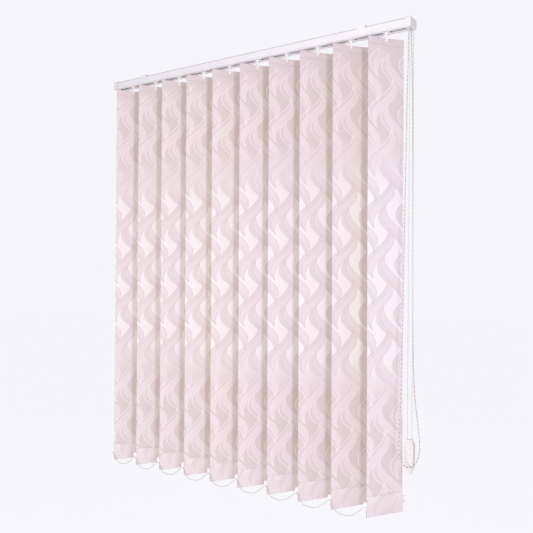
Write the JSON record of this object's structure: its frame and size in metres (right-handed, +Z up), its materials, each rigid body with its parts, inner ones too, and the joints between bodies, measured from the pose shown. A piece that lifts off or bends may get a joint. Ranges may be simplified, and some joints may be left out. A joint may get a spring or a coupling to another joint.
{
  "type": "vertical blind",
  "caption": "Vertical blind with cloth slats hung from a ceiling rail, turned by a ball chain and drawn aside by a cord with a weight.",
  "frame": {"origin": "on the ceiling plane, midway between the screw holes of the two ceiling clips, over the middle of the rail", "axes": "+X along the rail towards the control end, -Y into the room, +Z up"},
  "size_m": [1.2311, 0.1282, 1.4475],
  "materials": {
    "rail_paint": "white powder coat on extruded aluminium",
    "clip_paint": "white painted spring steel",
    "cap_plastic": "white moulded plastic",
    "rod_aluminium": "drawn aluminium",
    "drive_plastic": "white moulded acetal",
    "stem_plastic": "white moulded plastic",
    "bob_plastic": "white moulded plastic",
    "cord_braid": "white braided polyester",
    "chain_plastic": "white moulded balls on a thread",
    "link_plastic": "white moulded balls on a thread",
    "insert_plastic": "white moulded plastic, mineral filled",
    "slat_cloth": "stiffened jacquard cloth, pink ground with paler waves"
  },
  "bodies": {
    "rail": {"headrail": "rail_paint", "ceiling_clips": "clip_paint", "control_end_cap": "cap_plastic", "idle_end_cap": "cap_plastic", "rail_cord": "cord_braid", "traverse_cord": "cord_braid", "control_chain": "chain_plastic", "cord_weight": "bob_plastic", "carrier_10": "drive_plastic"},
    "tilt_shaft": {"tilt_rod": "rod_aluminium", "chain_wheel": "drive_plastic"},
    "guide_pulley_front": {"guide_pulley_front": "drive_plastic"},
    "guide_pulley_rear": {"guide_pulley_rear": "drive_plastic"},
    "return_pulley": {"return_pulley": "drive_plastic"},
    "weight_pulley": {"weight_pulley": "drive_plastic"},
    "bottom_chain_front": {"bottom_chain_front": "link_plastic"},
    "bottom_chain_rear": {"bottom_chain_rear": "link_plastic"},
    "carrier_01": {"carrier_01": "drive_plastic"},
    "carrier_02": {"carrier_02": "drive_plastic"},
    "carrier_03": {"carrier_03": "drive_plastic"},
    "carrier_04": {"carrier_04": "drive_plastic"},
    "carrier_05": {"carrier_05": "drive_plastic"},
    "carrier_06": {"carrier_06": "drive_plastic"},
    "carrier_07": {"carrier_07": "drive_plastic"},
    "carrier_08": {"carrier_08": "drive_plastic"},
    "carrier_09": {"carrier_09": "drive_plastic"},
    "vane_01": {"stem_01": "stem_plastic", "slat_01": "slat_cloth", "slat_inserts_01": "insert_plastic"},
    "vane_02": {"stem_02": "stem_plastic", "slat_02": "slat_cloth", "slat_inserts_02": "insert_plastic"},
    "vane_03": {"stem_03": "stem_plastic", "slat_03": "slat_cloth", "slat_inserts_03": "insert_plastic"},
    "vane_04": {"stem_04": "stem_plastic", "slat_04": "slat_cloth", "slat_inserts_04": "insert_plastic"},
    "vane_05": {"stem_05": "stem_plastic", "slat_05": "slat_cloth", "slat_inserts_05": "insert_plastic"},
    "vane_06": {"stem_06": "stem_plastic", "slat_06": "slat_cloth", "slat_inserts_06": "insert_plastic"},
    "vane_07": {"stem_07": "stem_plastic", "slat_07": "slat_cloth", "slat_inserts_07": "insert_plastic"},
    "vane_08": {"stem_08": "stem_plastic", "slat_08": "slat_cloth", "slat_inserts_08": "insert_plastic"},
    "vane_09": {"stem_09": "stem_plastic", "slat_09": "slat_cloth", "slat_inserts_09": "insert_plastic"},
    "vane_10": {"stem_10": "stem_plastic", "slat_10": "slat_cloth", "slat_inserts_10": "insert_plastic"}
  },
  "joints": [
    {"name": "tilt", "type": "hinge", "parent": "rail", "child": "vane_10", "pos_m": [0.522, 0, -0.0453], "axis": [0, 0, 1], "range_deg": [-46, 104]},
    {"name": "traverse", "type": "slide", "parent": "rail", "child": "carrier_01", "axis": [1, 0, 0], "range_m": [0, 0.828], "deforming": ["bottom_chain_front", "bottom_chain_rear"]},
    {"name": "traverse_02", "type": "slide", "parent": "rail", "child": "carrier_02", "axis": [1, 0, 0], "range_m": [0, 0.736]},
    {"name": "traverse_03", "type": "slide", "parent": "rail", "child": "carrier_03", "axis": [1, 0, 0], "range_m": [0, 0.644]},
    {"name": "traverse_04", "type": "slide", "parent": "rail", "child": "carrier_04", "axis": [1, 0, 0], "range_m": [0, 0.552]},
    {"name": "traverse_05", "type": "slide", "parent": "rail", "child": "carrier_05", "axis": [1, 0, 0], "range_m": [0, 0.46]},
    {"name": "traverse_06", "type": "slide", "parent": "rail", "child": "carrier_06", "axis": [1, 0, 0], "range_m": [0, 0.368]},
    {"name": "traverse_07", "type": "slide", "parent": "rail", "child": "carrier_07", "axis": [1, 0, 0], "range_m": [0, 0.276]},
    {"name": "traverse_08", "type": "slide", "parent": "rail", "child": "carrier_08", "axis": [1, 0, 0], "range_m": [0, 0.184]},
    {"name": "traverse_09", "type": "slide", "parent": "rail", "child": "carrier_09", "axis": [1, 0, 0], "range_m": [0, 0.092]},
    {"name": "tilt_01", "type": "hinge", "parent": "carrier_01", "child": "vane_01", "pos_m": [-0.522, 0, -0.0453], "axis": [0, 0, 1], "range_deg": [-46, 104]},
    {"name": "tilt_02", "type": "hinge", "parent": "carrier_02", "child": "vane_02", "pos_m": [-0.406, 0, -0.0453], "axis": [0, 0, 1], "range_deg": [-46, 104]},
    {"name": "tilt_03", "type": "hinge", "parent": "carrier_03", "child": "vane_03", "pos_m": [-0.29, 0, -0.0453], "axis": [0, 0, 1], "range_deg": [-46, 104]},
    {"name": "tilt_04", "type": "hinge", "parent": "carrier_04", "child": "vane_04", "pos_m": [-0.174, 0, -0.0453], "axis": [0, 0, 1], "range_deg": [-46, 104]},
    {"name": "tilt_05", "type": "hinge", "parent": "carrier_05", "child": "vane_05", "pos_m": [-0.058, 0, -0.0453], "axis": [0, 0, 1], "range_deg": [-46, 104]},
    {"name": "tilt_06", "type": "hinge", "parent": "carrier_06", "child": "vane_06", "pos_m": [0.058, 0, -0.0453], "axis": [0, 0, 1], "range_deg": [-46, 104]},
    {"name": "tilt_07", "type": "hinge", "parent": "carrier_07", "child": "vane_07", "pos_m": [0.174, 0, -0.0453], "axis": [0, 0, 1], "range_deg": [-46, 104]},
    {"name": "tilt_08", "type": "hinge", "parent": "carrier_08", "child": "vane_08", "pos_m": [0.29, 0, -0.0453], "axis": [0, 0, 1], "range_deg": [-46, 104]},
    {"name": "tilt_09", "type": "hinge", "parent": "carrier_09", "child": "vane_09", "pos_m": [0.406, 0, -0.0453], "axis": [0, 0, 1], "range_deg": [-46, 104]},
    {"name": "rod_spin", "type": "hinge", "parent": "rail", "child": "tilt_shaft", "pos_m": [0, 0, -0.0165], "axis": [1, 0, 0], "range_deg": [-184, 416]},
    {"name": "front_chain_swivel", "type": "hinge", "parent": "vane_10", "child": "bottom_chain_front", "pos_m": [0.48879, -0.05991, -1.4053], "axis": [0, 0, 1], "range_deg": [-104, 46]},
    {"name": "rear_chain_swivel", "type": "hinge", "parent": "vane_10", "child": "bottom_chain_rear", "pos_m": [0.55521, 0.05991, -1.4053], "axis": [0, 0, 1], "range_deg": [-104, 46]},
    {"name": "return_pulley_spin", "type": "hinge", "parent": "rail", "child": "return_pulley", "pos_m": [-0.58685, 0, -0.0105], "axis": [0, 0, 1], "range_deg": [0, 3390]},
    {"name": "guide_front_spin", "type": "hinge", "parent": "rail", "child": "guide_pulley_front", "pos_m": [0.5985, -0.014, -0.014], "axis": [0, 1, 0], "range_deg": [0, 13556]},
    {"name": "guide_rear_spin", "type": "hinge", "parent": "rail", "child": "guide_pulley_rear", "pos_m": [0.5985, 0.014, -0.014], "axis": [0, 1, 0], "range_deg": [-13556, 0]},
    {"name": "weight_pulley_spin", "type": "hinge", "parent": "rail", "child": "weight_pulley", "pos_m": [0.5985, 0, -1.228], "axis": [0, 1, 0], "range_deg": [-6779, 0]}
  ],
  "couplings": [
    {"joint": "traverse_02", "follows": "traverse", "ratio": 0.88889},
    {"joint": "traverse_03", "follows": "traverse", "ratio": 0.77778},
    {"joint": "traverse_04", "follows": "traverse", "ratio": 0.66667},
    {"joint": "traverse_05", "follows": "traverse", "ratio": 0.55556},
    {"joint": "traverse_06", "follows": "traverse", "ratio": 0.44444},
    {"joint": "traverse_07", "follows": "traverse", "ratio": 0.33333},
    {"joint": "traverse_08", "follows": "traverse", "ratio": 0.22222},
    {"joint": "traverse_09", "follows": "traverse", "ratio": 0.11111},
    {"joint": "tilt_01", "follows": "tilt", "ratio": 1},
    {"joint": "tilt_02", "follows": "tilt", "ratio": 1},
    {"joint": "tilt_03", "follows": "tilt", "ratio": 1},
    {"joint": "tilt_04", "follows": "tilt", "ratio": 1},
    {"joint": "tilt_05", "follows": "tilt", "ratio": 1},
    {"joint": "tilt_06", "follows": "tilt", "ratio": 1},
    {"joint": "tilt_07", "follows": "tilt", "ratio": 1},
    {"joint": "tilt_08", "follows": "tilt", "ratio": 1},
    {"joint": "tilt_09", "follows": "tilt", "ratio": 1},
    {"joint": "rod_spin", "follows": "tilt", "ratio": 4},
    {"joint": "front_chain_swivel", "follows": "tilt", "ratio": -1},
    {"joint": "rear_chain_swivel", "follows": "tilt", "ratio": -1},
    {"joint": "return_pulley_spin", "follows": "traverse", "rad_per_m": 71.429},
    {"joint": "guide_front_spin", "follows": "traverse", "rad_per_m": 285.71},
    {"joint": "guide_rear_spin", "follows": "traverse", "rad_per_m": -285.71},
    {"joint": "weight_pulley_spin", "follows": "traverse", "rad_per_m": -142.86}
  ]
}
